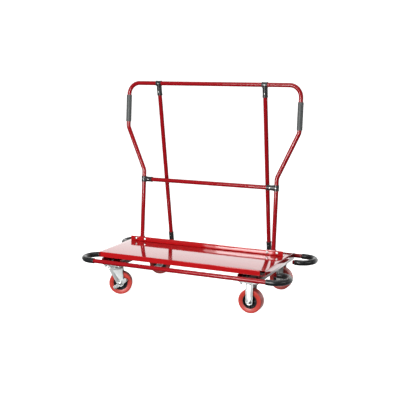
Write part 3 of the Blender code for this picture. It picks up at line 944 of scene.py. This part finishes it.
def model_fork(crown_z, half, axle_x):
    """A sheet folded down on both sides into legs, then trimmed to the legs' outline."""
    fork = block("fork", (-0.06, -LEG_OUT, 0.03), (0.08, LEG_OUT, crown_z))
    bpy.ops.object.mode_set(mode="EDIT")
    pick(fork, "FACE", lambda f: f.normal.z < -0.9 or abs(f.normal.x) > 0.9)
    bpy.ops.mesh.delete(type="FACE")
    pick(fork, "EDGE", lambda e: e.is_manifold and e.calc_face_angle(0) > 1)
    bpy.ops.mesh.bevel(offset=0.007, segments=6, affect="EDGES")
    bpy.ops.object.mode_set(mode="OBJECT")
    modify(fork, "SOLIDIFY", thickness=LEG_T, offset=-1)
    carve(fork, model_leg_shape(half, axle_x, crown_z + 0.001), "INTERSECT")
    return fork


def press_legs(fork, edge):
    """A shallow pressing in the outer face of each leg, inside a raised rim."""
    only(fork)
    bpy.ops.object.mode_set(mode="EDIT")
    pick(fork, "FACE", lambda f: abs(f.normal.y) > 0.99
         and abs(f.calc_center_median().y) > LEG_IN + LEG_T * 0.9)
    bpy.ops.mesh.inset(thickness=edge, depth=0)
    bpy.ops.mesh.inset(thickness=0.0012, depth=-0.0009)
    bpy.ops.object.mode_set(mode="OBJECT")


def model_wheel():
    """Tread, core and bush about Y, in the wheel's own place at the axle."""
    half = TREAD_HALF
    tread = turned("tread", [
        (HUB_R + 0.0002, half - 0.0026), (HUB_R + 0.0024, half - 0.0012), (WHEEL_R - 0.0070, half - 0.0002),
        (WHEEL_R - 0.0035, half), (WHEEL_R - 0.0014, half - 0.0005), (WHEEL_R - 0.0004, half - 0.0018),
        (WHEEL_R, half - 0.0045), (WHEEL_R, -half + 0.0045), (WHEEL_R - 0.0004, -half + 0.0018),
        (WHEEL_R - 0.0014, -half + 0.0005), (WHEEL_R - 0.0035, -half), (WHEEL_R - 0.0070, -half + 0.0002),
        (HUB_R + 0.0024, -half + 0.0012), (HUB_R + 0.0002, -half + 0.0026), (HUB_R + 0.0002, half - 0.0026),
    ], 96, turn=(math.pi / 2, 0, 0))
    rim = HUB_R - 0.0050
    core = turned("core", [
        (0.0105, 0.0255), (0.0152, 0.0255), (0.0160, 0.0247), (0.0180, 0.0100), (0.0190, 0.0088),
        (rim - 0.0015, 0.0082), (rim, 0.0094), (rim + 0.0006, half - 0.0022), (rim + 0.0012, half - 0.0016),
        (HUB_R - 0.0006, half - 0.0016), (HUB_R, half - 0.0024), (HUB_R, -half + 0.0024),
        (HUB_R - 0.0006, -half + 0.0016), (rim + 0.0012, -half + 0.0016), (rim + 0.0006, -half + 0.0022),
        (rim, -0.0094), (rim - 0.0015, -0.0082), (0.0190, -0.0088), (0.0180, -0.0100), (0.0160, -0.0247),
        (0.0152, -0.0255), (0.0105, -0.0255), (0.0105, 0.0255),
    ], 72, turn=(math.pi / 2, 0, 0))
    ribs = []
    for i in range(8):
        rib = block("rib", (0.0165, -0.0165, -0.0011), (rim + 0.0004, 0.0165, 0.0011))
        bpy.ops.object.mode_set(mode="EDIT")
        pick(rib, "VERT", lambda v: v.co.x > 0.03)
        bpy.ops.transform.resize(value=(1, 0.85, 1.5), center_override=(0, 0, 0))
        bpy.ops.object.mode_set(mode="OBJECT")
        soften(rib, 0.0004, 2)
        ribs.append(placed(rib, (0, 0, 0), (0, i * math.pi / 4, 0)))
    core = joined("core", [core] + ribs)
    bush = turned("bush", [
        (0.0067, 0.0275), (0.0095, 0.0275), (0.0100, 0.0270), (0.0100, -0.0270), (0.0095, -0.0275),
        (0.0067, -0.0275), (0.0067, 0.0275),
    ], 32, turn=(math.pi / 2, 0, 0))
    return tread, core, bush


def model_axle(front):
    """Bolt about Y at the axle: head and washer in front, locknut and thread end behind."""
    back = -LEG_OUT
    parts = [
        turned("shank", [(0.0059, front + 0.001), (0.0059, back - 0.0070), (0.0050, back - 0.0078)], 24),
        turned("washer", [(0.0118, front + 0.0016), (0.0118, front + 0.0002)], 36),
        hexagon("head", 0.0180, front + 0.0014, front + 0.0062, 0.0009),
        turned("washer", [(0.0112, back - 0.0002), (0.0112, back - 0.0014)], 36),
        hexagon("nut", 0.0170, back - 0.0074, back - 0.0012, 0.0009),
    ]
    return placed(joined("axle", parts), (0, 0, 0), (math.pi / 2, 0, 0))


def model_plate_bolts():
    """Four bolts through a plate and the channel's web, heads up, nuts below."""
    web = CASTER_TOP + 0.0003 + CHANNEL_T
    low = CASTER_TOP - PLATE_T
    bolt = joined("bolt", [
        hexagon("head", 0.0130, web + 0.0012, web + 0.0062, 0.0007),
        turned("washer", [(0.0082, web + 0.0012), (0.0082, web + 0.0001)], 28),
        turned("shank", [(0.0039, web), (0.0039, low - 0.0098), (0.0033, low - 0.0104)], 16),
        turned("washer", [(0.0082, low - 0.0001), (0.0082, low - 0.0014)], 28),
        hexagon("nut", 0.0130, low - 0.0078, low - 0.0014, 0.0007),
    ])
    copies = [twin(bolt, "bolt", (x, y, 0)) for x, y in plate_bolt_places()]
    bpy.data.objects.remove(bolt)
    return joined("plate_bolts", copies)


def model_rigid_fork():
    """Plate and folded legs of a rigid caster."""
    fork = model_fork(CASTER_TOP - PLATE_T - 0.0001, RIGID_LEG_HALF, 0)
    press_legs(fork, 0.0050)
    carve(fork, model_plate(), "UNION")
    carve(fork, round_bar("bore", (0, -0.05, WHEEL_R), (0, 0.05, WHEEL_R), AXLE_BORE_R, 32))
    soften(fork, 0.0006, 2, 45)
    return fork


def model_swivel():
    """Plate with the pressed bearing housing, the race under it, the king pin and the fork."""
    plate = model_plate()
    housing = turned("housing", [
        (0.0438, 0.1755), (0.0435, 0.1745), (0.0430, 0.1700), (0.0417, 0.1680), (0.0400, 0.1672),
        (0.0340, 0.1672), (0.0325, 0.1690), (0.0325, 0.1755),
    ], 64)
    carve(plate, housing, "UNION")
    soften(plate, 0.0005, 2, 45)
    race = turned("race", [
        (0.0290, 0.1664), (0.0395, 0.1664), (0.0405, 0.1656), (0.0409, 0.1645), (0.0405, 0.1634),
        (0.0395, 0.1628), (0.0290, 0.1628), (0.0290, 0.1664),
    ], 64)
    pin = joined("pin", [
        turned("rivet", [(0.0058, 0.1795), (0.0058, 0.1572)], 24),
        hexagon("pin_nut", 0.0190, 0.1492, 0.1560, 0.0009),
        turned("washer", [(0.0118, 0.1572), (0.0118, 0.1560)], 36),
    ])
    fork = model_fork(SWIVEL_CROWN_Z, SWIVEL_LEG_HALF, TRAIL)
    carve(fork, round_bar("bore", (0, 0, 0.14), (0, 0, 0.18), AXLE_BORE_R, 32))
    press_legs(fork, 0.0055)
    carve(fork, round_bar("bore", (TRAIL, -0.05, WHEEL_R), (TRAIL, 0.05, WHEEL_R), AXLE_BORE_R, 32))
    soften(fork, 0.0006, 2, 45)
    return plate, race, pin, fork


def model_lock():
    """Rocker lever on the axle with a foot pad turned out at each end."""
    lever = block("lever", (-0.047, -LOCK_T / 2, -0.0105), (0.047, LOCK_T / 2, 0.0105))
    bpy.ops.object.mode_set(mode="EDIT")
    pick(lever, "EDGE", lambda e: abs(run_of(e).y) > 0.9)
    bpy.ops.mesh.bevel(offset=0.006, segments=5, affect="EDGES")
    bpy.ops.object.mode_set(mode="OBJECT")
    for side in (-1, 1):
        ends = sorted((side * 0.040, side * 0.044))
        pad = block("pad", (ends[0], -0.016, -0.010), (ends[1], 0.0015, 0.010))
        bpy.ops.object.mode_set(mode="EDIT")
        pick(pad, "EDGE", lambda e: abs(run_of(e).x) > 0.9 and middle(e).y < -0.01)
        bpy.ops.mesh.bevel(offset=0.004, segments=4, affect="EDGES")
        bpy.ops.object.mode_set(mode="OBJECT")
        carve(lever, pad, "UNION")
    carve(lever, round_bar("bore", (0, -0.02, 0), (0, 0.02, 0), AXLE_BORE_R, 32))
    soften(lever, 0.0006, 2, 45)
    reach = LEG_OUT + 0.0003 + LOCK_T / 2
    return placed(lever, (TRAIL, -reach, WHEEL_R), (0, -LOCK_TILT, 0))


def make_casters():
    """Model each caster piece once, then set its copies at the four corners."""
    tread, core, bush = model_wheel()
    rigid_axle = model_axle(LEG_OUT)
    swivel_axle = model_axle(LEG_OUT + LOCK_T + 0.0003)
    rigid_fork = model_rigid_fork()
    plate, race, pin, fork = model_swivel()
    lock = model_lock()
    bolts = model_plate_bolts()
    for end, facing in (("front", -1), ("rear", 1)):
        for side_word, x in (("left", -CASTER_X), ("right", CASTER_X)):
            word = end + "_" + side_word
            here = Vector((x, facing * CASTER_Y, 0))
            swivels = side_word == "left"
            turn = (0, 0, SWIVEL_TURN if swivels else 0)
            trail = TRAIL if swivels else 0
            axle = here + Vector((trail * math.cos(turn[2]), trail * math.sin(turn[2]), WHEEL_R))
            carrier = "swivel_" + word if swivels else "frame"
            wheel = "wheel_" + word
            bolt = swivel_axle if swivels else rigid_axle
            for model, name, place, finish, body, slot, node in (
                (tread, "tyre_", axle, URETHANE, wheel, "polyurethane_tread", "tread_"),
                (core, "core_", axle, NYLON, wheel, "wheel_core", "hub_"),
                (bush, "bush_", axle, FASTENER, wheel, "zinc_plate", "axle_bush_"),
                (bolt, "axle_", axle, FASTENER, carrier, "zinc_plate", "axle_bolt_"),
            ):
                finish_piece(twin(model, name + word, place, turn), finish, body, slot, node + word)
            finish_piece(twin(bolts, "plate_bolts_" + word, here), FASTENER, "frame", "zinc_plate")
            if not swivels:
                copy = twin(rigid_fork, "fork_" + word, here)
                finish_piece(copy, ZINC, "frame", "zinc_plate", "rigid_fork_" + word)
                continue
            for model, name, finish, body, node, about in (
                (plate, "plate_", ZINC, "frame", "swivel_plate_", (0, 0, 0)),
                (pin, "pin_", FASTENER, "frame", "king_pin_", (0, 0, 0)),
                (race, "race_", FASTENER, carrier, "swivel_race_", turn),
                (fork, "fork_", ZINC, carrier, "swivel_fork_", turn),
                (lock, "lock_", ZINC, "lock_" + word, "wheel_lock_", turn),
            ):
                finish_piece(twin(model, name + word, here, about), finish, body, "zinc_plate", node + word)
    for model in (
        tread, core, bush, rigid_axle, swivel_axle, rigid_fork, plate, race, pin, fork, lock, bolts,
    ):
        bpy.data.objects.remove(model)


make_deck()
make_rail()
make_rail_bolts()
make_post_feet()
make_channel("left", -1)
make_channel("right", 1)
make_bumper("front", -1)
make_bumper("rear", 1)
make_upper_frame()
make_casters()

shown_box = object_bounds()
[[list(corner) for corner in box] for box in (cad_box, shown_box)]
